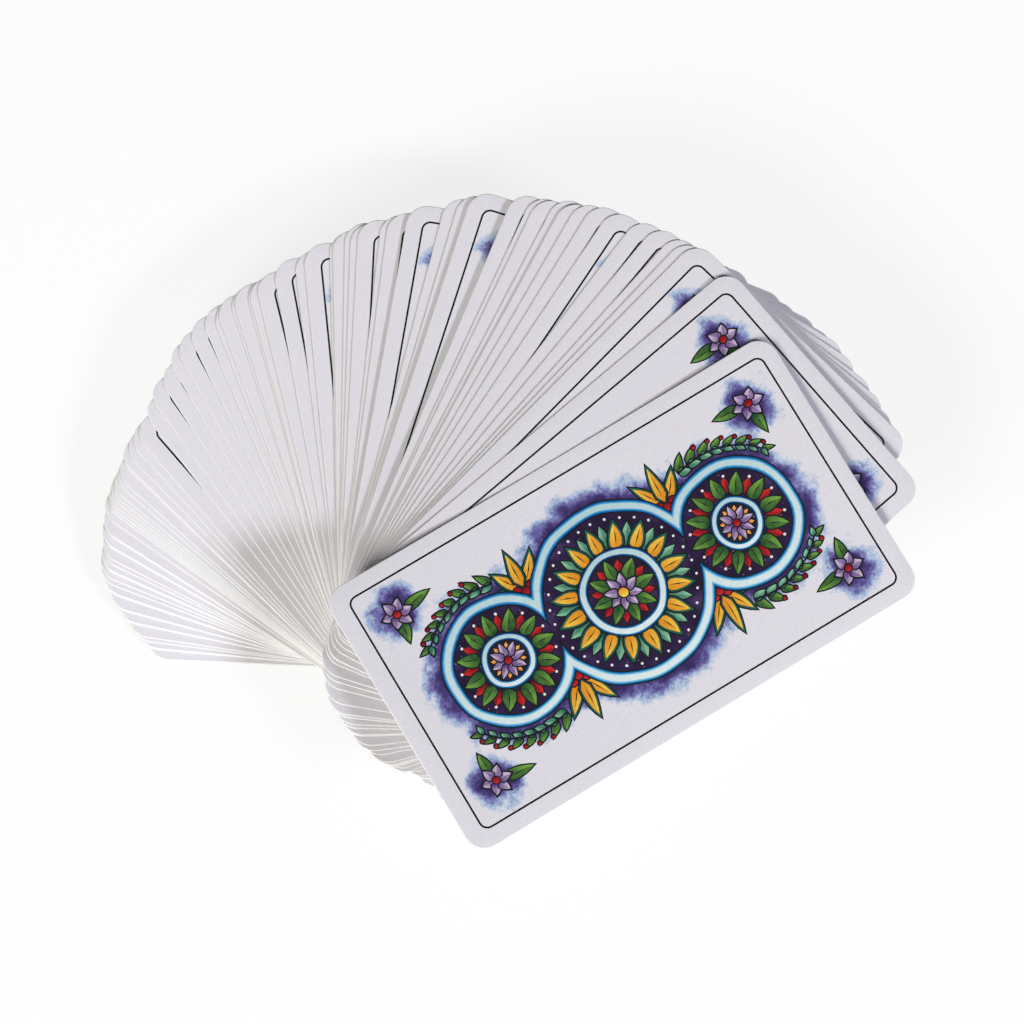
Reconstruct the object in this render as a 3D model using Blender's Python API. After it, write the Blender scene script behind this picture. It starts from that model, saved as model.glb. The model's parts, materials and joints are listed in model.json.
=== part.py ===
"""Tarot card deck fanned out on a table, backs up.

Metres, +Z up. The origin is the centre of the bottom card's underside, and the
bottom card's long side runs along X. Every other card turns on an upright axis,
which carries it from its place in the fan to its place squared on the bottom card.
"""

import math
import random

import bmesh
import bpy
from mathutils import Vector

MM = 0.001

# One card
CARD_LENGTH = 120.65 * MM
CARD_WIDTH = 69.85 * MM
CARD_THICKNESS = 0.32 * MM
CORNER_RADIUS = 5.0 * MM
CORNER_SEGMENTS = 5

# Air between neighbours in the stack
LAYER_GAP = 0.03 * MM

# Turn of each card from the bottom card in degrees, from the bottom up
CARD_TURNS = (
    0.0, 2.7, 3.0, 4.7, 5.9, 9.2, 9.5, 12.3, 12.6, 16.0, 16.3, 18.3, 19.7,
    21.3, 21.6, 23.2, 24.4, 27.0, 27.3, 29.5, 29.8, 32.1, 33.5, 34.1, 34.7, 35.4,
    36.1, 36.9, 38.1, 39.1, 41.4, 41.7, 43.2, 44.9, 46.3, 49.3, 51.4, 54.1, 56.7,
    58.5, 61.3, 64.0, 65.8, 66.6, 69.0, 69.5, 71.8, 72.2, 73.5, 76.6, 80.0, 81.5,
    85.6, 86.1, 88.0, 88.9, 90.0, 93.3, 94.3, 97.1, 101.9, 103.7, 105.2, 109.9, 112.0,
    112.7, 114.7, 115.7, 117.2, 118.8, 121.0, 124.4, 126.8, 129.3, 130.6, 131.8, 137.1, 146.5,
)

# Cards that lie so close to the next one up that the two are joined in one piece
JOINED_CARDS = (2, 4, 6, 8, 10, 12, 14, 16, 18, 20, 23, 25, 27, 29, 31, 45, 47, 53)
PAIR_OVERLAP = 0.1 * MM

# Cards that stand clear of the one below, and the added air under them
CLEAR_CARDS = (
    (60, 0.45 * MM),
    (63, 0.45 * MM),
    (64, 0.8 * MM),
    (68, 0.15 * MM),
)

# How far a card's centre has slid from the bottom card's centre: turn in degrees,
# then the slide along X and Y
FAN_STATIONS = (
    (0.0, 0.0 * MM, 0.0 * MM),
    (15.0, -5.0 * MM, -2.0 * MM),
    (30.0, -4.2 * MM, -3.5 * MM),
    (45.5, 0.4 * MM, -0.8 * MM),
    (59.0, 4.2 * MM, 7.6 * MM),
    (75.5, 13.5 * MM, 9.2 * MM),
    (89.0, 20.8 * MM, 11.0 * MM),
    (97.0, 25.7 * MM, 10.9 * MM),
    (105.5, 31.7 * MM, 11.4 * MM),
    (120.0, 45.4 * MM, 6.6 * MM),
    (131.0, 52.0 * MM, -0.1 * MM),
    (137.0, 54.5 * MM, -5.0 * MM),
    (147.0, 52.1 * MM, -17.5 * MM),
)

# A hand spreads cards unevenly: slip along the card, in full from this turn on
SLIP = 0.5 * MM
SLIP_FULL_TURN = 20.0
SPREAD_SEED = 5

STOCK_COLOUR = (0.72, 0.70, 0.74, 1.0)
STOCK_ROUGHNESS = 0.5

# Edges that bend more than this stay crisp, in degrees
CRISP_ANGLE = 40.0


def clear_scene():
    """Remove every object that the file starts with."""
    for item in list(bpy.data.objects):
        bpy.data.objects.remove(item, do_unlink=True)


def card_stock():
    """Coated card, pale lavender grey."""
    material = bpy.data.materials.new("card_stock")
    material.use_nodes = True
    shader = material.node_tree.nodes["Principled BSDF"]
    shader.inputs["Base Color"].default_value = STOCK_COLOUR
    shader.inputs["Roughness"].default_value = STOCK_ROUGHNESS
    shader.inputs["Metallic"].default_value = 0.0
    return material


def plate_mesh(name, thickness, material):
    """Rounded rectangle of a card's outline, from z = 0 up to the thickness."""
    bm = bmesh.new()
    bmesh.ops.create_cube(bm, size=1.0)
    bmesh.ops.translate(bm, verts=bm.verts, vec=(0.0, 0.0, 0.5))
    bmesh.ops.scale(bm, verts=bm.verts, vec=(CARD_LENGTH, CARD_WIDTH, thickness))
    uprights = [edge for edge in bm.edges if abs(edge.verts[0].co.z - edge.verts[1].co.z) > thickness / 2]
    bmesh.ops.bevel(
        bm,
        geom=uprights,
        offset=CORNER_RADIUS,
        offset_type="OFFSET",
        segments=CORNER_SEGMENTS,
        profile=0.5,
        affect="EDGES",
    )
    mesh = bpy.data.meshes.new(name)
    bm.to_mesh(mesh)
    bm.free()
    mesh.materials.append(material)
    mesh.shade_smooth()
    mesh.set_sharp_from_angle(angle=math.radians(CRISP_ANGLE))
    return mesh


def pieces():
    """Cards of each piece from the bottom up, as number and turn."""
    cards = list(enumerate(CARD_TURNS, start=1))
    grouped = []
    while cards:
        size = 2 if cards[0][0] in JOINED_CARDS else 1
        grouped.append(cards[:size])
        cards = cards[size:]
    return grouped


def piece_name(cards):
    """Name of a piece, with its cards counted from the bottom of the deck."""
    numbers = [number for number, _ in cards]
    if numbers == [1]:
        return "bottom_card"
    if numbers == [len(CARD_TURNS)]:
        return "top_card"
    if len(numbers) == 1:
        return f"card_{numbers[0]:02d}"
    return f"cards_{numbers[0]:02d}_{numbers[1]:02d}"


def slide_at(turn):
    """Slide of a card's centre at this turn, read between the fan's stations."""
    for (turn_a, x_a, y_a), (turn_b, x_b, y_b) in zip(FAN_STATIONS, FAN_STATIONS[1:]):
        if turn <= turn_b:
            share = (turn - turn_a) / (turn_b - turn_a)
            return Vector((x_a + (x_b - x_a) * share, y_a + (y_b - y_a) * share, 0.0))
    return Vector(FAN_STATIONS[-1][1:] + (0.0,))


def heading(turn):
    """Direction of a card's long side after this turn."""
    angle = -math.radians(turn)
    return Vector((math.cos(angle), math.sin(angle), 0.0))


def hinge_point(centre, turn):
    """Point about which the turn brings a card's centre back over the origin."""
    sideways = Vector((-centre.y, centre.x, 0.0))
    return centre / 2.0 - sideways / (2.0 * math.tan(math.radians(turn) / 2.0))


def fan_layout():
    """Name, turn, cards and height of every piece.

    A card is given by its turn and by its centre in plan.
    """
    slips = random.Random(SPREAD_SEED)
    clear_air = dict(CLEAR_CARDS)
    layout = []
    height = 0.0
    for group in pieces():
        turn = sum(card_turn for _, card_turn in group) / len(group)
        slip = slips.uniform(-SLIP, SLIP) * min(1.0, turn / SLIP_FULL_TURN)
        cards = []
        for _, card_turn in group:
            cards.append((card_turn, slide_at(card_turn) + heading(card_turn) * slip))
        height += clear_air.get(group[0][0], 0.0)
        layout.append((piece_name(group), turn, cards, height))
        height += len(cards) * (CARD_THICKNESS + LAYER_GAP)
    return layout


def add_hinge(name, point, height):
    """Empty on the upright axis that a piece turns about."""
    hinge = bpy.data.objects.new(f"hinge_of_{name}", None)
    hinge.location = (point.x, point.y, height)
    bpy.context.scene.collection.objects.link(hinge)
    return hinge


def add_plate(name, mesh, hinge, card, rise=0.0):
    """One plate, hung on its hinge at the card's turn and centre."""
    turn, centre = card
    plate = bpy.data.objects.new(name, mesh)
    bpy.context.scene.collection.objects.link(plate)
    plate.parent = hinge
    plate.location = (centre.x - hinge.location.x, centre.y - hinge.location.y, rise)
    plate.rotation_euler = (0.0, 0.0, -math.radians(turn))
    return plate


def join_upper_card(lower, upper):
    """Union of a pair's two cards, with the upper one as the hidden guide."""
    upper.hide_render = True
    upper.display_type = "WIRE"
    union = lower.modifiers.new("upper_card", "BOOLEAN")
    union.operation = "UNION"
    union.solver = "EXACT"
    union.object = upper


def build_deck():
    """Every piece of the deck, from the bottom card up."""
    material = card_stock()
    card = plate_mesh("card", CARD_THICKNESS, material)
    pair_foot = plate_mesh("pair_foot", CARD_THICKNESS + LAYER_GAP + PAIR_OVERLAP, material)
    for name, turn, cards, height in fan_layout():
        centre = sum((place for _, place in cards), Vector((0.0, 0.0, 0.0))) / len(cards)
        pivot = hinge_point(centre, turn) if turn > 0.0 else centre
        hinge = add_hinge(name, pivot, height)
        if len(cards) == 1:
            add_plate(name, card, hinge, cards[0])
        else:
            lower = add_plate(name, pair_foot, hinge, cards[0])
            upper = add_plate(f"{name}_upper", card, hinge, cards[1], CARD_THICKNESS + LAYER_GAP)
            join_upper_card(lower, upper)


clear_scene()
build_deck()
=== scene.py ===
"""Looks of the fanned tarot deck: each card as printed board, on a white table.

Lengths are metres, apart from the drawings on the cards, which are laid out in
millimetres in the card's own plane: x along its long side, y along its short side.
"""

import json
import math
from collections import namedtuple

import bpy
import numpy as np
from mathutils import Matrix, Vector
from mathutils.geometry import delaunay_2d_cdt
from mathutils.noise import noise_vector, seed_set

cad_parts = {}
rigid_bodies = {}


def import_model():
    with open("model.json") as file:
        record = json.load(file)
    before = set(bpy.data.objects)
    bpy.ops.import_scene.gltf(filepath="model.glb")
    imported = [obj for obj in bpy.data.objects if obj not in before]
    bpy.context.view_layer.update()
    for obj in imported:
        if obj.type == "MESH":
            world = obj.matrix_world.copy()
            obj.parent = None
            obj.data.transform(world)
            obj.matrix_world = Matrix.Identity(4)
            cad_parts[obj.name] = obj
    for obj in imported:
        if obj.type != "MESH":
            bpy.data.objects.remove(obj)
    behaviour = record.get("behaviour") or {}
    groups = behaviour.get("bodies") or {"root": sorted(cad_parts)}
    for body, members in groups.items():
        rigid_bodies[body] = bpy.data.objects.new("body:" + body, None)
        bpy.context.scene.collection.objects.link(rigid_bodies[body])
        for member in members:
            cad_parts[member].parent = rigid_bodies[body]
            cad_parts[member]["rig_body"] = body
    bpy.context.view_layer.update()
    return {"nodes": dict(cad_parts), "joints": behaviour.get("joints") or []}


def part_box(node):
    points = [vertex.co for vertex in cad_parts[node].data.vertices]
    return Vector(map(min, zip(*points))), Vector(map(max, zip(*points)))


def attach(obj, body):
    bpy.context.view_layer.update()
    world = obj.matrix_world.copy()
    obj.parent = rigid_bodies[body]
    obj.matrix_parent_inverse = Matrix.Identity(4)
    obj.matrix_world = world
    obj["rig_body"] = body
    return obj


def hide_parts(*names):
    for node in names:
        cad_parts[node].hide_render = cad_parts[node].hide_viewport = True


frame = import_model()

MM = 0.001

# One card, measured on the bottom card of the frame
card_low, card_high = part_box("bottom_card")
CARD_LENGTH = card_high.x - card_low.x
CARD_WIDTH = card_high.y - card_low.y
CARD_THICKNESS = card_high.z - card_low.z
CORNER_RADIUS = 5.0 * MM
CORNER_STEPS = 10
SIDE_STEPS = 20

# The die rolls the back's edge down and leaves a small break on the front
ROLL_WIDTH = 0.26 * MM
ROLL_DROP = 0.18 * MM
ROLL_STEPS = 5
FRONT_BREAK = 0.05 * MM
CRISP_ANGLE = 50.0

# The last cards laid down curl up: lift of the outer end and the inner end, and its start off the middle
CURLS = {77: (0.7 * MM, 0.9 * MM, 26.0 * MM), 78: (1.4 * MM, 2.8 * MM, 2.0 * MM)}
FLAT = (0.0, 0.0, 0.0)

# The other cards lie flat and are shaded as if bent: slope at the outer end and at the inner end
BEND_SLOPES = (0.06, 0.10)

# Cards from this one up have the fine lines of the drawing, because they show more than a strip
FIRST_FINE_CARD = 72
FINE_INKS = ("outline_ink", "hem_ink", "pearl_ink")

# Photo's viewpoint: the camera looks down on the table from this far; angles in degrees, lens in millimetres
CAMERA_AIM = Vector((26.04 * MM, 4.66 * MM, 0.0))
CAMERA_DISTANCE = 728.4 * MM
CAMERA_AZIMUTH = 2.49
CAMERA_TILT = 6.92
CAMERA_LENS = 105.47

# Studio: the floor's colour where it is seen and where it only bounces light, and its share of white
FLOOR_SIZE = 8.0
FLOOR_DROP = 0.02 * MM
FLOOR_COLOUR = (0.9, 0.9, 0.9)
FLOOR_BOUNCE = (0.5, 0.5, 0.5)
FLOOR_GLOW = 0.84
FLOOR_ROUGHNESS = 0.9
WHITE = (1.0, 1.0, 1.0)
AMBIENT_SHARE = 0.07

# Lamps: place in plan, height in degrees, distance, width, share of the light on a level card, tint
LAMPS = (
    ("right_lamp", (0.90, -0.44), 34.0, 3.4, 0.68, 0.395, (0.95, 0.962, 1.082)),
    ("left_lamp", (-0.56, -0.83), 34.0, 2.8, 1.23, 0.562, (1.035, 1.024, 0.942)),
)

# Printed back: frame line, then three linked medallions and what grows round them
PRINT_SHIFT = (-0.35, -0.12)
BORDER_INSET = (4.0, 3.87)
BORDER_RADIUS = 2.2
BORDER_LINE = 0.46
CENTRE_RADIUS = 21.5
SIDE_RADIUS = 15.5
SIDE_OFFSET = 31.0
BAND_WIDTH = 2.6
BAND_STEPS = 20
BAND_DEEP = 0.3
BAND_GLINT = 0.62
INK_LINE = 0.36
PETAL_STEPS = 5
HEM = 0.42
SHADE_REACH = 2.4
WAIST_ROOT = (19.4, 11.4)
CORNER_FLOWER = (47.6, 22.4)
GARLAND_RADIUS = 18.1
GARLAND_START = 108.0
GARLAND_END = 40.0
GARLAND_LEAVES = 7
GARLAND_LEAF = 4.4
STEM_WIDTH = 0.5

# An unsteady hand: how far it drifts, over what length, and the seed of its drift
HAND_DRIFT = 0.55
HAND_REACH = 8.0
HAND_SEED = 7

# Board: its tooth, its gloss and its darker fibres; a scale is the number of features to a millimetre
TOOTH_SCALE = 3.2
TOOTH_DEPTH = 0.02 * MM
CUT_TOOTH = 0.3
PAPER_TOOTH = 0.18
INK_TOOTH = 0.12
GLOSS_SCALE = 0.6
GLOSS_RANGE = (0.42, 0.58)
BOARD_SPECULAR = 0.12
FIBRE_RANGE = (0.25, 0.75)
FIBRE_SCALE = 2.0

# Ink: scale and strength of its uneven wash, and the board's fibres that show through it
INK_SCALE = 0.9
INK_UNEVEN = 0.7
INK_FIBRE_SCALE = 2.6
INK_FIBRES = 0.18

# Violet wash: how deep it soaks, how far it flows and feathers, and how softly its blots meet
WASH_DEPTH = 6.5
WASH_FLOW = 9.0
WASH_FEATHER = 4.4
WASH_BLEND = 3.0
WAIST_BLOT = 3.0
CORNER_BLOT = 2.2

# Night ground inside the medallions: clouds and flecks of light
CLOUD_SCALE = 0.16
FLECK_SCALE = 0.8
FLECK_SIZE = 0.1

# Heights that differ by less than this belong to the same face of a solid
FACE_TOLERANCE = 0.01 * MM


def srgb(red, green, blue):
    """Linear colour of a colour that is written as screen values from 0 to 255."""
    return tuple(
        c / 12.92 if c <= 0.04045 else ((c + 0.055) / 1.055) ** 2.4
        for c in (red / 255.0, green / 255.0, blue / 255.0)
    )


PAPER = srgb(229, 226, 233)
CUT_EDGE = srgb(202, 200, 199)
ROLLED_EDGE = srgb(232, 231, 232)
BLACK_INK = srgb(10, 9, 12)

# Inks: colour at the root and at the tip of a drawn shape
INKS = {
    "gold_ink": (srgb(222, 138, 30), srgb(252, 214, 84)),
    "green_ink": (srgb(26, 66, 38), srgb(122, 172, 74)),
    "mint_ink": (srgb(36, 104, 84), srgb(150, 206, 170)),
    "hem_ink": (srgb(14, 66, 62), srgb(34, 98, 84)),
    "outline_ink": (srgb(10, 14, 18), srgb(14, 24, 26)),
    "ice_ink": (srgb(180, 210, 216), srgb(226, 238, 238)),
    "deep_cyan_ink": (srgb(4, 88, 158), srgb(10, 122, 190)),
    "cyan_ink": (srgb(52, 152, 206), srgb(132, 200, 226)),
    "red_ink": (srgb(122, 12, 30), srgb(214, 48, 44)),
    "orange_ink": (srgb(222, 104, 28), srgb(252, 190, 104)),
    "lilac_ink": (srgb(92, 54, 124), srgb(226, 206, 232)),
    "pearl_ink": (srgb(226, 226, 224), srgb(246, 246, 242)),
    "black_ink": (BLACK_INK, BLACK_INK),
}

# A drawn shape: its ink, its outline, and the two points between which its tone runs
Shape = namedtuple("Shape", "ink outline root tip")


# Nodes of a material

def new_material(name):
    """Material with a node tree that holds only the shader and the output."""
    material = bpy.data.materials.new(name)
    material.use_nodes = True
    tree = material.node_tree
    return material, tree, tree.nodes["Principled BSDF"]


def add(tree, kind, **settings):
    """Node of this kind, with its settings."""
    node = tree.nodes.new(kind)
    for name, value in settings.items():
        setattr(node, name, value)
    return node


def feed(tree, socket, value):
    """Give an input a number, a colour, or another node's output."""
    if isinstance(value, bpy.types.NodeSocket):
        tree.links.new(value, socket)
    elif isinstance(value, tuple) and socket.type == "RGBA":
        socket.default_value = value + (1.0,)
    else:
        socket.default_value = value


def calc(tree, operation, *values):
    """Output of a Math node."""
    node = add(tree, "ShaderNodeMath", operation=operation)
    for socket, value in zip(node.inputs, values):
        feed(tree, socket, value)
    return node.outputs[0]


def vector_calc(tree, operation, *values):
    """Output of a Vector Math node: a number for a distance, a vector otherwise."""
    node = add(tree, "ShaderNodeVectorMath", operation=operation)
    for socket, value in zip(node.inputs, values):
        feed(tree, socket, value)
    return node.outputs["Value" if operation == "DISTANCE" else "Vector"]


def mixed(tree, share, first, second, blend="MIX"):
    """Colour between two colours."""
    node = add(tree, "ShaderNodeMix", data_type="RGBA", blend_type=blend)
    feed(tree, node.inputs[0], share)
    feed(tree, node.inputs[6], first)
    feed(tree, node.inputs[7], second)
    return node.outputs[2]


def card_millimetres(tree):
    """Place on the card in millimetres, from its centre."""
    place = add(tree, "ShaderNodeTexCoord").outputs["Object"]
    node = add(tree, "ShaderNodeVectorMath", operation="SCALE")
    feed(tree, node.inputs[0], place)
    node.inputs["Scale"].default_value = 1.0 / MM
    return node.outputs["Vector"]


def noise(tree, place, scale, detail=3.0, roughness=0.55):
    """Noise from 0 to 1, with features of about 1 / scale millimetres."""
    node = add(tree, "ShaderNodeTexNoise")
    feed(tree, node.inputs["Vector"], place)
    node.inputs["Scale"].default_value = scale
    node.inputs["Detail"].default_value = detail
    node.inputs["Roughness"].default_value = roughness
    return node.outputs["Fac"]


def spread(tree, value, width):
    """Value from 0 to 1, spread over this width about zero."""
    return calc(tree, "MULTIPLY_ADD", value, width, -width / 2.0)


def bent(tree, place):
    """Normal of a card that bends up towards its ends."""
    parts = add(tree, "ShaderNodeSeparateXYZ")
    feed(tree, parts.inputs["Vector"], place)
    rise = 0.0
    for side, slope in zip((-1.0, 1.0), BEND_SLOPES):
        reach = calc(tree, "MAXIMUM", calc(tree, "MULTIPLY", parts.outputs["X"], side), 0.0)
        rise = calc(tree, "MULTIPLY_ADD", calc(tree, "POWER", reach, 2.0), slope * MM / CARD_LENGTH, rise)
    bump = add(tree, "ShaderNodeBump")
    bump.inputs["Distance"].default_value = MM
    feed(tree, bump.inputs["Height"], rise)
    return bump.outputs["Normal"]


def board_grain(tree, shader, place, strength, form=None):
    """Fine tooth of the coated board, as bump on its form and as a change of gloss."""
    grain = noise(tree, place, TOOTH_SCALE, 4.0, 0.7)
    bump = add(tree, "ShaderNodeBump")
    bump.inputs["Strength"].default_value = strength
    bump.inputs["Distance"].default_value = TOOTH_DEPTH
    feed(tree, bump.inputs["Height"], grain)
    if form is not None:
        feed(tree, bump.inputs["Normal"], form)
    feed(tree, shader.inputs["Normal"], bump.outputs["Normal"])
    gloss = add(tree, "ShaderNodeMapRange")
    feed(tree, gloss.inputs["Value"], noise(tree, place, GLOSS_SCALE))
    gloss.inputs["To Min"].default_value = GLOSS_RANGE[0]
    gloss.inputs["To Max"].default_value = GLOSS_RANGE[1]
    feed(tree, shader.inputs["Roughness"], gloss.outputs["Result"])
    shader.inputs["Specular IOR Level"].default_value = BOARD_SPECULAR


def mottled(tree, place, colour, scale, depth):
    """Colour that the board's fibres make a little darker here and there."""
    level = add(tree, "ShaderNodeMapRange")
    feed(tree, level.inputs["Value"], noise(tree, place, scale, 4.0, 0.65))
    level.inputs["From Min"].default_value = FIBRE_RANGE[0]
    level.inputs["From Max"].default_value = FIBRE_RANGE[1]
    level.inputs["To Min"].default_value = 1.0 - depth
    level.inputs["To Max"].default_value = 1.0
    return mixed(tree, 1.0, colour, level.outputs["Result"], "MULTIPLY")


def ramp(tree, position, *stops):
    """Colour read from a ramp of (position, colour) stops."""
    node = add(tree, "ShaderNodeValToRGB")
    feed(tree, node.inputs["Fac"], position)
    elements = node.color_ramp.elements
    while len(elements) < len(stops):
        elements.new(1.0)
    for element, (at, colour) in zip(elements, stops):
        element.position = at
        element.color = colour + (1.0,)
    return node.outputs["Color"]


def plain_board(name, colour, tooth, fibres):
    """Unprinted board, as on the edges and the front."""
    material, tree, shader = new_material(name)
    place = card_millimetres(tree)
    feed(tree, shader.inputs["Base Color"], mottled(tree, place, colour, FIBRE_SCALE, fibres))
    board_grain(tree, shader, place, tooth)
    return material


def ink(name, root_colour, tip_colour):
    """Ink laid on in washes, from one colour at a shape's root to another at its tip."""
    material, tree, shader = new_material(name)
    place = card_millimetres(tree)
    tone = add(tree, "ShaderNodeAttribute", attribute_name="tone").outputs["Fac"]
    uneven = spread(tree, noise(tree, place, INK_SCALE, 4.0), INK_UNEVEN)
    colour = mixed(tree, calc(tree, "ADD", tone, uneven), root_colour, tip_colour)
    feed(tree, shader.inputs["Base Color"], mottled(tree, place, colour, INK_FIBRE_SCALE, INK_FIBRES))
    board_grain(tree, shader, place, INK_TOOTH)
    return material


def back_paper(name, shaded_bend):
    """The back's board, with a violet wash that fades to blue round the drawing."""
    material, tree, shader = new_material(name)
    place = card_millimetres(tree)
    folded = vector_calc(tree, "ABSOLUTE", vector_calc(tree, "SUBTRACT", place, PRINT_SHIFT + (0.0,)))
    reach = None
    for centre, radius in (
        ((0.0, 0.0, 0.0), CENTRE_RADIUS),
        ((SIDE_OFFSET, 0.0, 0.0), SIDE_RADIUS),
        (WAIST_ROOT + (0.0,), WAIST_BLOT),
        (CORNER_FLOWER + (0.0,), CORNER_BLOT),
    ):
        away = vector_calc(tree, "MULTIPLY", vector_calc(tree, "SUBTRACT", folded, centre), (1.0, 1.0, 0.0))
        here = calc(tree, "SUBTRACT", vector_calc(tree, "DISTANCE", away, (0.0, 0.0, 0.0)), radius)
        reach = here if reach is None else calc(tree, "SMOOTH_MIN", reach, here, WASH_BLEND)
    flow = spread(tree, noise(tree, place, 0.2, 3.0, 0.5), WASH_FLOW)
    feather = spread(tree, noise(tree, place, 1.3, 5.0, 0.7), WASH_FEATHER)
    soaked = calc(tree, "ADD", reach, calc(tree, "ADD", flow, feather))
    washed = ramp(
        tree,
        calc(tree, "DIVIDE", soaked, WASH_DEPTH),
        (0.0, srgb(52, 40, 88)),
        (0.22, srgb(80, 67, 126)),
        (0.42, srgb(122, 122, 180)),
        (0.58, srgb(172, 192, 222)),
        (0.8, PAPER),
    )
    grained = mottled(tree, place, washed, 3.4, 0.16)
    feed(tree, shader.inputs["Base Color"], mottled(tree, place, grained, 1.2, 0.05))
    board_grain(tree, shader, place, PAPER_TOOTH, bent(tree, place) if shaded_bend else None)
    return material


def night_ground():
    """Blue-black ground inside the medallions, flecked with light."""
    material, tree, shader = new_material("night_ground")
    place = card_millimetres(tree)
    cloud = ramp(
        tree,
        noise(tree, place, CLOUD_SCALE, 4.0),
        (0.3, srgb(18, 9, 27)),
        (0.55, srgb(40, 25, 58)),
        (0.75, srgb(70, 53, 98)),
    )
    cells = add(tree, "ShaderNodeTexVoronoi")
    feed(tree, cells.inputs["Vector"], place)
    cells.inputs["Scale"].default_value = FLECK_SCALE
    fleck = calc(tree, "LESS_THAN", cells.outputs["Distance"], FLECK_SIZE)
    few = calc(tree, "GREATER_THAN", noise(tree, place, 0.5), 0.5)
    starry = mixed(tree, calc(tree, "MULTIPLY", fleck, few), cloud, srgb(150, 140, 186))
    feed(tree, shader.inputs["Base Color"], starry)
    board_grain(tree, shader, place, INK_TOOTH)
    return material


# Outlines of drawn shapes, in millimetres

def rounded_rectangle(half_x, half_y, radius):
    """Outline that runs anticlockwise from the right-hand side, with points along the long sides."""
    points = []
    for quarter, (side_x, side_y) in enumerate(((1, 1), (-1, 1), (-1, -1), (1, -1))):
        for step in range(CORNER_STEPS + 1):
            angle = math.radians(90.0) * (quarter + step / CORNER_STEPS)
            x = side_x * (half_x - radius) + radius * math.cos(angle)
            y = side_y * (half_y - radius) + radius * math.sin(angle)
            points.append((x, y))
        if side_x == side_y:
            for step in range(1, SIDE_STEPS):
                along = 1.0 - 2.0 * step / SIDE_STEPS
                points.append((side_x * (half_x - radius) * along, side_y * half_y))
    return points


def circle(centre, radius, steps):
    """Outline of a disc."""
    turns = [2.0 * math.pi * step / steps for step in range(steps)]
    return [(centre[0] + radius * math.cos(a), centre[1] + radius * math.sin(a)) for a in turns]


def petal(root, tip, width, fullness=0.62, steps=PETAL_STEPS):
    """Outline of a petal or leaf; fullness below 1 puts its widest part nearer the root."""
    root, tip = Vector(root), Vector(tip)
    across = (tip - root).orthogonal().normalized() * width / 2.0
    left, right = [], []
    for step in range(1, steps):
        share = step / steps
        half = across * math.sin(math.pi * share**fullness) ** 0.8
        left.append(root.lerp(tip, share) + half)
        right.append(root.lerp(tip, share) - half)
    return [tuple(p) for p in [root, *right, tip, *reversed(left)]]


def linked_circles(grow):
    """Outline round the three medallions, moved outwards by this much."""
    middle, side = CENTRE_RADIUS + grow, SIDE_RADIUS + grow
    waist_x = (SIDE_OFFSET**2 + middle**2 - side**2) / (2.0 * SIDE_OFFSET)
    waist_y = math.sqrt(middle**2 - waist_x**2)
    middle_turn = math.atan2(waist_y, waist_x)
    side_turn = math.atan2(waist_y, waist_x - SIDE_OFFSET)
    quarter = []
    for step in range(BAND_STEPS):
        angle = side_turn * step / BAND_STEPS
        quarter.append((SIDE_OFFSET + side * math.cos(angle), side * math.sin(angle)))
    for step in range(BAND_STEPS + 1):
        angle = middle_turn + (math.pi / 2.0 - middle_turn) * step / BAND_STEPS
        quarter.append((middle * math.cos(angle), middle * math.sin(angle)))
    half = quarter + [(-x, y) for x, y in reversed(quarter[:-1])]
    return half + [(x, -y) for x, y in reversed(half[1:-1])]


# Drawn shapes

def disc(ink_name, centre, radius, steps=44):
    """Disc whose tone runs from its lower to its upper edge."""
    below = (centre[0], centre[1] - radius)
    above = (centre[0], centre[1] + radius)
    return Shape(ink_name, circle(centre, radius, steps), below, above)


def berry(ink_name, centre, radius, steps=10):
    """Small inked disc."""
    return [disc("outline_ink", centre, radius + INK_LINE, steps), disc(ink_name, centre, radius, steps)]


def inked_petal(ink_name, root, tip, width, hem=0.0, vein=0.0):
    """Petal with an ink outline, a hem of dark green, a shaded half and a vein."""
    root, tip = Vector(root), Vector(tip)
    along = (tip - root).normalized()
    outline = petal(root - along * INK_LINE, tip + along * 2.0 * INK_LINE, width + 2.0 * INK_LINE)
    shapes = [Shape("outline_ink", outline, root, tip)]
    if hem:
        shapes.append(Shape("hem_ink", petal(root, tip, width), root, tip))
    inner_root, inner_tip = root + along * hem, tip - along * 2.2 * hem
    inside = petal(inner_root, inner_tip, width - 2.0 * hem)
    shaded = inside[: len(inside) // 2 + 1]
    shapes.append(Shape(ink_name, inside, root, tip))
    shapes.append(Shape(ink_name, shaded, root, root.lerp(tip, SHADE_REACH)))
    if vein:
        line = petal(inner_root.lerp(inner_tip, 0.12), inner_root.lerp(inner_tip, 0.82), vein, 1.0, 2)
        shapes.append(Shape("outline_ink", line, root, tip))
    return shapes


def ring_places(centre, radius, count, start=0.0):
    """Places all round a centre, each with its direction; start is a share of one step."""
    for number in range(count):
        angle = 2.0 * math.pi * (number + start) / count
        way = Vector((math.cos(angle), math.sin(angle)))
        yield Vector(centre) + way * radius, way


def petal_ring(ink_name, centre, inner, outer, width, count, start=0.0, hem=0.0, vein=0.0):
    """Petals that point outwards all round a centre."""
    shapes = []
    for root, way in ring_places(centre, inner, count, start):
        shapes += inked_petal(ink_name, root, root + way * (outer - inner), width, hem, vein)
    return shapes


def bead_ring(ink_name, centre, radius, size, count, start=0.0):
    """Beads all round a centre."""
    shapes = []
    for place, _ in ring_places(centre, radius, count, start):
        shapes.append(disc(ink_name, place, size, 6))
    return shapes


def ice_ring(centre, inner, outer):
    """Pale ring with blue edges; what lies within it is drawn later."""
    return [
        disc("outline_ink", centre, outer + INK_LINE),
        disc("deep_cyan_ink", centre, outer),
        disc("ice_ink", centre, outer - BAND_DEEP),
        disc("deep_cyan_ink", centre, inner + BAND_DEEP),
        disc("outline_ink", centre, inner),
        disc("night_ground", centre, inner - INK_LINE),
    ]


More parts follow.
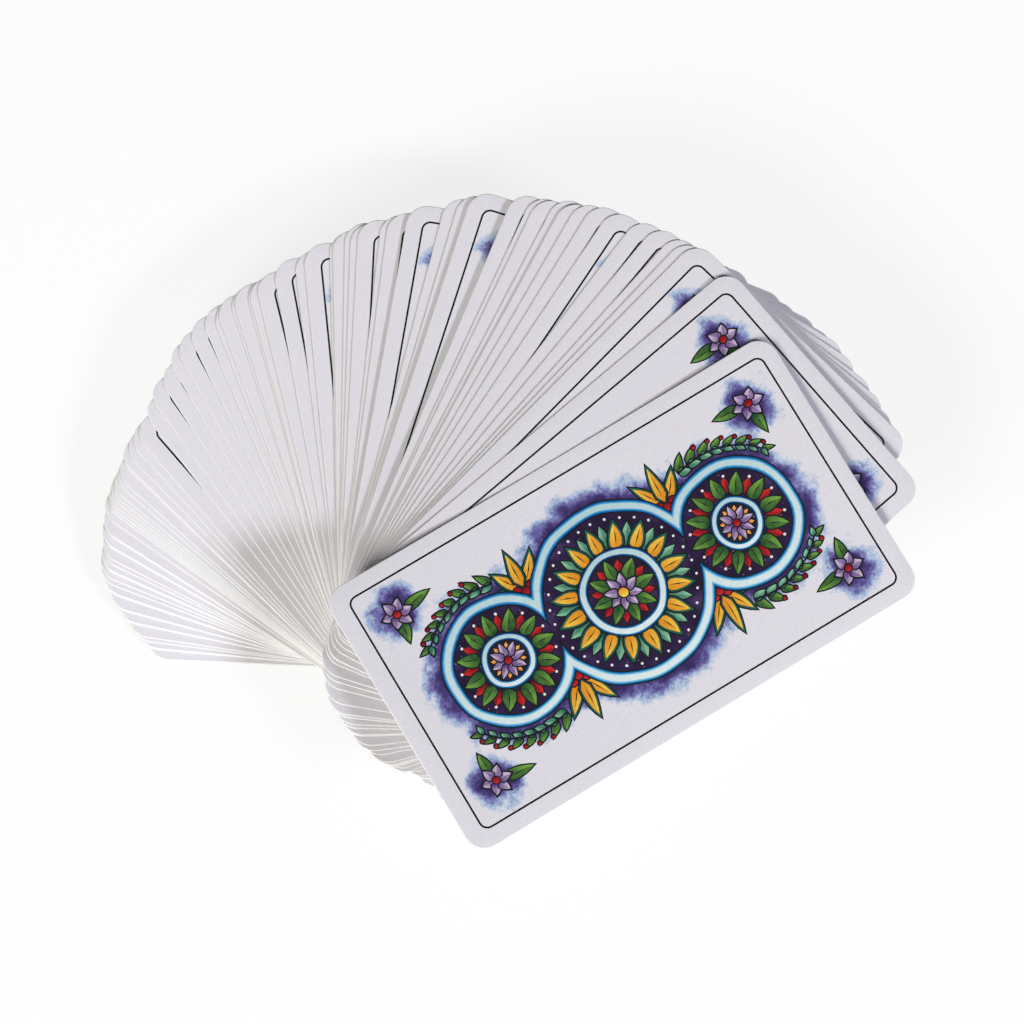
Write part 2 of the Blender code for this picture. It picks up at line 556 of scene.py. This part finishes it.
def on_four_sides(draw, point):
    """Draw at a point and at its mirror images, each given with its two signs."""
    shapes = []
    for side_x in (1.0, -1.0):
        for side_y in (1.0, -1.0):
            shapes += draw(Vector((point[0] * side_x, point[1] * side_y)), side_x, side_y)
    return shapes


def frame_line(ground):
    """Thin black frame line round the ground."""
    half_x = CARD_LENGTH / 2.0 / MM - BORDER_INSET[0]
    half_y = CARD_WIDTH / 2.0 / MM - BORDER_INSET[1]
    outer = rounded_rectangle(half_x, half_y, BORDER_RADIUS)
    inner = rounded_rectangle(half_x - BORDER_LINE, half_y - BORDER_LINE, BORDER_RADIUS - BORDER_LINE)
    left, right = (-half_x, 0.0), (half_x, 0.0)
    return [Shape("black_ink", outer, left, right), Shape(ground, inner, left, right)]


def linked_band():
    """Pale band round the medallions, with blue edges, and the ground inside it."""
    low, high = (0.0, -CENTRE_RADIUS), (0.0, CENTRE_RADIUS)
    steps = (
        ("outline_ink", INK_LINE),
        ("deep_cyan_ink", 0.0),
        ("cyan_ink", -BAND_DEEP),
        ("ice_ink", -BAND_GLINT),
        ("cyan_ink", BAND_GLINT - BAND_WIDTH),
        ("deep_cyan_ink", BAND_DEEP - BAND_WIDTH),
        ("outline_ink", -BAND_WIDTH),
        ("night_ground", -BAND_WIDTH - INK_LINE),
    )
    return [Shape(name, linked_circles(grow), low, high) for name, grow in steps]


def centre_rosette():
    """Gold flower head round a ring of leaves and a pale blossom."""
    centre = (0.0, 0.0)
    shapes = bead_ring("pearl_ink", centre, radius=17.4, size=0.34, count=32, start=0.5)
    shapes += petal_ring("mint_ink", centre, inner=10.6, outer=16.2, width=2.4, count=16, start=0.5)
    shapes += petal_ring("gold_ink", centre, inner=9.4, outer=17.0, width=3.6, count=16, hem=HEM, vein=0.3)
    shapes += ice_ring(centre, inner=8.4, outer=10.2)
    shapes += petal_ring("red_ink", centre, inner=3.6, outer=7.4, width=2.2, count=8, start=0.5)
    shapes += petal_ring("green_ink", centre, inner=3.0, outer=8.0, width=2.7, count=8, vein=0.26)
    shapes += petal_ring("lilac_ink", centre, inner=0.9, outer=4.4, width=2.0, count=8, start=0.5)
    shapes += berry("gold_ink", centre, radius=1.1, steps=18)
    return shapes


def side_rosette(centre):
    """Leaf wreath round a lilac blossom."""
    shapes = petal_ring("red_ink", centre, inner=7.2, outer=11.0, width=2.2, count=12, start=0.5)
    shapes += bead_ring("pearl_ink", centre, radius=11.3, size=0.36, count=12, start=0.5)
    shapes += petal_ring("green_ink", centre, inner=6.2, outer=12.0, width=3.0, count=12, vein=0.28)
    shapes += ice_ring(centre, inner=4.8, outer=6.3)
    shapes += petal_ring("orange_ink", centre, inner=1.2, outer=4.2, width=1.6, count=8, start=0.5)
    shapes += petal_ring("lilac_ink", centre, inner=0.8, outer=4.3, width=1.7, count=8)
    shapes += berry("red_ink", centre, radius=0.8)
    return shapes


def garland(centre, side_x, side_y):
    """Leafy vine with berries along the outside of a side medallion."""
    stem_out, stem_in, leaves = [], [], []
    for step in range(GARLAND_LEAVES + 1):
        share = step / GARLAND_LEAVES
        angle = math.radians(GARLAND_START + (GARLAND_END - GARLAND_START) * share)
        way = Vector((side_x * math.cos(angle), side_y * math.sin(angle)))
        along = Vector((side_x * math.sin(angle), -side_y * math.cos(angle)))
        place = centre + way * GARLAND_RADIUS
        stem_out.append(place + way * STEM_WIDTH / 2.0)
        stem_in.append(place - way * STEM_WIDTH / 2.0)
        length = GARLAND_LEAF * (1.0 - 0.35 * share)
        for ink_name, lean, reach in (("green_ink", 0.75, 1.0), ("mint_ink", -0.55, 0.7)):
            tip = place + (along + way * lean).normalized() * length * reach
            leaves += inked_petal(ink_name, place, tip, width=0.42 * length)
        if step > 1:
            leaves += berry("red_ink", place + way * 0.62 * length - along * 0.3, radius=0.42, steps=7)
    outline = [tuple(p) for p in stem_out[::-1] + stem_in][:: int(side_x * side_y)]
    return leaves + [Shape("outline_ink", outline, stem_out[0], stem_out[-1])]


def waist_spray(root, side_x, side_y):
    """Gold leaves and green leaves with berries where two medallions meet."""
    shapes = []
    for ink_name, lean, length in (
        ("green_ink", -68.0, 8.4),
        ("green_ink", 68.0, 7.6),
        ("gold_ink", -34.0, 10.4),
        ("gold_ink", 34.0, 9.6),
        ("gold_ink", 0.0, 11.2),
    ):
        angle = math.radians(lean)
        way = Vector((side_x * math.sin(angle), side_y * math.cos(angle)))
        shapes += inked_petal(ink_name, root + way, root + way * length, width=3.2, hem=HEM, vein=0.3)
    for offset in (-1.7, 1.7, 0.0):
        shapes += berry("red_ink", root + Vector((offset, 0.5 * abs(offset) * side_y)), radius=1.0)
    return shapes


def corner_flower(centre, side_x, side_y):
    """Small blossom with two leaves that point along the frame line."""
    shapes = []
    for way, length in ((Vector((-side_x, 0.12 * side_y)), 9.0), (Vector((0.12 * side_x, -side_y)), 7.5)):
        shapes += inked_petal("green_ink", centre + way * 2.0, centre + way * length, width=2.6, vein=0.28)
    shapes += petal_ring("lilac_ink", centre, inner=0.6, outer=3.7, width=2.3, count=6)
    shapes += berry("red_ink", centre, radius=0.8)
    return shapes


def drawn_by_hand(shapes):
    """The shapes with outlines that waver a little."""
    wavering = []
    for shape in shapes:
        outline = []
        for x, y in shape.outline:
            drift = noise_vector(Vector((x, y, 0.0)) / HAND_REACH) * HAND_DRIFT
            outline.append((x + drift.x, y + drift.y))
        wavering.append(shape._replace(outline=outline))
    return wavering


def printed(shapes):
    """The shapes moved to where the press puts them on the card."""
    moved = []
    for shape in shapes:
        outline = [(x + PRINT_SHIFT[0], y + PRINT_SHIFT[1]) for x, y in shape.outline]
        moved.append(shape._replace(outline=outline))
    return moved


def back_drawing(fine):
    """Every shape on the back, in the order in which it is drawn."""
    shapes = on_four_sides(garland, (SIDE_OFFSET, 0.0))
    shapes += on_four_sides(waist_spray, WAIST_ROOT)
    shapes += linked_band()
    shapes += centre_rosette()
    for side in (1.0, -1.0):
        shapes += side_rosette((side * SIDE_OFFSET, 0.0))
    shapes += on_four_sides(corner_flower, CORNER_FLOWER)
    if not fine:
        shapes = [shape for shape in shapes if shape.ink not in FINE_INKS]
    return printed(frame_line("back_paper") + drawn_by_hand(shapes))


def front_drawing():
    """Frame line and a sun on the front."""
    centre = (0.0, 0.0)
    shapes = petal_ring("orange_ink", centre, inner=9.0, outer=21.0, width=4.2, count=12, start=0.5)
    shapes += petal_ring("gold_ink", centre, inner=9.0, outer=25.0, width=5.0, count=12, vein=0.4)
    shapes += berry("gold_ink", centre, radius=10.0, steps=48)
    return printed(frame_line("front_paper") + drawn_by_hand(shapes))


# Mesh of a card

def edge_rings():
    """Rings of the cut edge from the front up to the back, as outline and height."""
    profile = [(FRONT_BREAK, 0.0), (0.0, FRONT_BREAK)]
    for step in range(ROLL_STEPS + 1):
        angle = math.radians(90.0) * step / ROLL_STEPS
        inset = ROLL_WIDTH * (1.0 - math.cos(angle))
        height = CARD_THICKNESS - ROLL_DROP * (1.0 - math.sin(angle))
        profile.append((inset, height))
    rings = []
    for inset, height in profile:
        half_x, half_y = CARD_LENGTH / 2.0 - inset, CARD_WIDTH / 2.0 - inset
        rings.append((rounded_rectangle(half_x, half_y, CORNER_RADIUS - inset), height))
    return rings


def score_lines(boundary):
    """Lines straight across the card, between points of its two long sides, along which it can bend."""
    half_y = max(y for _, y in boundary)
    upper = [i for i, (_, y) in enumerate(boundary) if math.isclose(y, half_y)]
    lower = [i for i, (_, y) in enumerate(boundary) if math.isclose(y, -half_y)]
    return list(zip(upper, reversed(lower)))


def partition(boundary, ground, shapes, scores):
    """Triangles of the boundary's inside, each with the last shape drawn over it."""
    size = (CARD_LENGTH / 2.0 / MM, 0.0)
    layers = [Shape(ground, [(x / MM, y / MM) for x, y in boundary], (-size[0], 0.0), size)]
    layers += shapes
    points, loops = [], []
    for layer in layers:
        loops.append(list(range(len(points), len(points) + len(layer.outline))))
        points += [Vector(p) for p in layer.outline]
    spots, _, triangles, _, _, sources = delaunay_2d_cdt(points, scores, loops, 1, 1e-5)
    covered = [layers[max(source)] for source in sources]
    return spots, triangles, covered


def tone_at(shape, spot):
    """Where a spot lies between a shape's root and its tip, from 0 to 1."""
    root, tip = Vector(shape.root), Vector(shape.tip)
    way = tip - root
    return min(1.0, max(0.0, (spot - root).dot(way) / way.length_squared))


def lift_at(x, curl):
    """Height of a curled card above a flat one, at this place along it."""
    outer, inner, start = curl
    share = max(0.0, (abs(x) - start) / (CARD_LENGTH / 2.0 - start))
    return (inner if x > 0.0 else outer) * share**2


def card_mesh(name, materials, fine, curl=FLAT):
    """Closed mesh of one card, with the drawings as patches of its two faces."""
    slots = {role: number for number, role in enumerate(materials)}
    places, faces, inks, tones, rounded = {}, [], [], [], []

    def corner(x, y, z):
        return places.setdefault((round(x, 8), round(y, 8), round(z, 8)), len(places))

    rings = edge_rings()
    for (lower, low), (upper, high) in zip(rings, rings[1:]):
        for here in range(len(lower)):
            after = (here + 1) % len(lower)
            quad = ((lower[here], low), (lower[after], low), (upper[after], high), (upper[here], high))
            faces.append([corner(x, y, z) for (x, y), z in quad])
            inks.append(slots["rolled_edge" if low > FRONT_BREAK else "cut_edge"])
            tones += [0.5] * len(quad)
            rounded.append(True)
    for (boundary, height), ground, shapes, order in (
        (rings[-1], "back_paper", back_drawing(fine), 1),
        (rings[0], "front_paper", front_drawing(), -1),
    ):
        scores = score_lines(boundary) if curl != FLAT else []
        spots, triangles, covered = partition(boundary, ground, shapes, scores)
        for triangle, shape in zip(triangles, covered):
            turned = triangle[::order]
            corners = [corner(spots[i].x * MM, spots[i].y * MM, height) for i in turned]
            # A sliver whose corners round to the same place is no face
            if len(set(corners)) < len(corners):
                continue
            faces.append(corners)
            inks.append(slots[shape.ink])
            tones += [tone_at(shape, spots[i]) for i in turned]
            rounded.append(False)

    mesh = bpy.data.meshes.new(name)
    mesh.from_pydata([(x, y, z + lift_at(x, curl)) for x, y, z in places], [], faces)
    for material in materials.values():
        mesh.materials.append(material)
    mesh.polygons.foreach_set("material_index", inks)
    tone = mesh.attributes.new("tone", "FLOAT", "CORNER")
    tone.data.foreach_set("value", tones)
    mesh.polygons.foreach_set("use_smooth", rounded)
    mesh.set_sharp_from_angle(angle=math.radians(CRISP_ANGLE))
    mesh.update()
    return mesh


def card_places(node, turn):
    """Centre, heading and underside of each card in a CAD node, the lower card first."""
    points = np.unique(np.round([v.co for v in node.data.vertices], 7), axis=0)
    bottom, top = points[:, 2].min(), points[:, 2].max()
    levels = [(bottom, bottom)]
    if top - bottom > 1.5 * CARD_THICKNESS:
        levels.append((top, top - CARD_THICKNESS))
    expected = np.array((math.cos(-turn), math.sin(-turn)))
    places = []
    for level, underside in levels:
        face = points[np.isclose(points[:, 2], level, atol=FACE_TOLERANCE)][:, :2]
        centre = face.mean(axis=0)
        along = np.linalg.eigh(np.cov((face - centre).T))[1][:, -1]
        along = along * np.sign(along @ expected)
        places.append((Vector((*centre, underside)), math.atan2(along[1], along[0])))
    return places


def lay_cards(materials, curled_materials):
    """Every card of the deck, on its own body, counted from the bottom; materials go by their roles."""
    plain = card_mesh("plain_card", materials, False)
    fine = card_mesh("fine_card", materials, True)
    turns = {joint["child"]: math.radians(joint["range_deg"][1]) for joint in frame["joints"]}
    nodes = sorted(frame["nodes"], key=lambda name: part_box(name)[0].z)
    number = 0
    for name in nodes:
        body = frame["nodes"][name]["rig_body"]
        for centre, heading in card_places(frame["nodes"][name], turns.get(body, 0.0)):
            number += 1
            mesh = fine if number >= FIRST_FINE_CARD else plain
            if number in CURLS:
                mesh = card_mesh(f"curled_card_{number}", curled_materials, True, CURLS[number])
            card = bpy.data.objects.new(f"tarot_card_{number:02d}", mesh)
            bpy.context.scene.collection.objects.link(card)
            card.location = centre
            card.rotation_euler = (0.0, 0.0, heading)
            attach(card, body)
            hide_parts(name)


# Studio

def seen_directly(tree):
    """1 where the camera, or a mirror or glass, looks at a surface; 0 where it only lights."""
    path = add(tree, "ShaderNodeLightPath")
    seen = calc(tree, "MAXIMUM", path.outputs["Is Camera Ray"], path.outputs["Is Glossy Ray"])
    return calc(tree, "MAXIMUM", seen, path.outputs["Is Transmission Ray"])


def lay_floor():
    """White table that keeps a soft shadow."""
    half = FLOOR_SIZE / 2.0
    corners = [(-half, -half, -FLOOR_DROP), (half, -half, -FLOOR_DROP)]
    corners += [(half, half, -FLOOR_DROP), (-half, half, -FLOOR_DROP)]
    mesh = bpy.data.meshes.new("floor")
    mesh.from_pydata(corners, [], [(0, 1, 2, 3)])
    material, tree, shader = new_material("floor_white")
    seen = seen_directly(tree)
    feed(tree, shader.inputs["Base Color"], mixed(tree, seen, FLOOR_BOUNCE, FLOOR_COLOUR))
    shader.inputs["Roughness"].default_value = FLOOR_ROUGHNESS
    shader.inputs["Specular IOR Level"].default_value = 0.0
    glow = add(tree, "ShaderNodeEmission")
    blend = add(tree, "ShaderNodeMixShader")
    feed(tree, blend.inputs[0], calc(tree, "MULTIPLY", seen, FLOOR_GLOW))
    feed(tree, blend.inputs[1], shader.outputs["BSDF"])
    feed(tree, blend.inputs[2], glow.outputs["Emission"])
    feed(tree, tree.nodes["Material Output"].inputs["Surface"], blend.outputs["Shader"])
    mesh.materials.append(material)
    floor = bpy.data.objects.new("floor", mesh)
    bpy.context.scene.collection.objects.link(floor)


def light_studio():
    """Soft light from all round, and two broad lamps on the viewer's side of the table."""
    world = bpy.data.worlds.new("studio")
    bpy.context.scene.world = world
    world.use_nodes = True
    tree = world.node_tree
    backdrop = tree.nodes["Background"]
    feed(tree, backdrop.inputs["Color"], WHITE)
    lift = calc(tree, "MULTIPLY_ADD", seen_directly(tree), 1.0 - AMBIENT_SHARE, AMBIENT_SHARE)
    feed(tree, backdrop.inputs["Strength"], lift)

    for name, plan, height, distance, width, share, tint in LAMPS:
        elevation = math.radians(height)
        lamp = bpy.data.lights.new(name, "AREA")
        lamp.shape = "DISK"
        lamp.size = width
        # Power at which a level card renders at this share of its own colour
        lamp.energy = share * (math.pi * distance) ** 2 / math.sin(elevation)
        lamp.color = tint
        stand = bpy.data.objects.new(name, lamp)
        bpy.context.scene.collection.objects.link(stand)
        way = Vector(plan + (0.0,)).normalized() * math.cos(elevation)
        way.z = math.sin(elevation)
        stand.location = CAMERA_AIM + way * distance
        stand.rotation_euler = way.to_track_quat("Z", "Y").to_euler()


def set_camera():
    """Camera at the photo's viewing angle."""
    azimuth, tilt = math.radians(CAMERA_AZIMUTH), math.radians(CAMERA_TILT)
    off_plumb = math.sin(tilt)
    ahead = Vector((-math.sin(azimuth) * off_plumb, math.cos(azimuth) * off_plumb, -math.cos(tilt)))
    right = Vector((math.cos(azimuth), math.sin(azimuth), 0.0))
    above = right.cross(ahead)
    lens = bpy.data.cameras.new("camera")
    lens.lens = CAMERA_LENS
    lens.clip_start = 0.01
    camera = bpy.data.objects.new("camera", lens)
    bpy.context.scene.collection.objects.link(camera)
    place = Matrix((right, above, -ahead)).transposed().to_4x4()
    place.translation = CAMERA_AIM - ahead * CAMERA_DISTANCE
    camera.matrix_world = place
    bpy.context.scene.camera = camera


bpy.context.scene.view_settings.view_transform = "Standard"
set_camera()
light_studio()
lay_floor()
boards = [
    plain_board("cut_edge", CUT_EDGE, CUT_TOOTH, fibres=0.08),
    plain_board("rolled_edge", ROLLED_EDGE, PAPER_TOOTH, fibres=0.05),
    plain_board("front_paper", PAPER, PAPER_TOOTH, fibres=0.08),
    night_ground(),
]
inks = [ink(name, root, tip) for name, (root, tip) in INKS.items()]
shared_materials = {material.name: material for material in boards + inks}
seed_set(HAND_SEED)
lay_cards(
    {**shared_materials, "back_paper": back_paper("back_paper", shaded_bend=True)},
    {**shared_materials, "back_paper": back_paper("curled_back_paper", shaded_bend=False)},
)
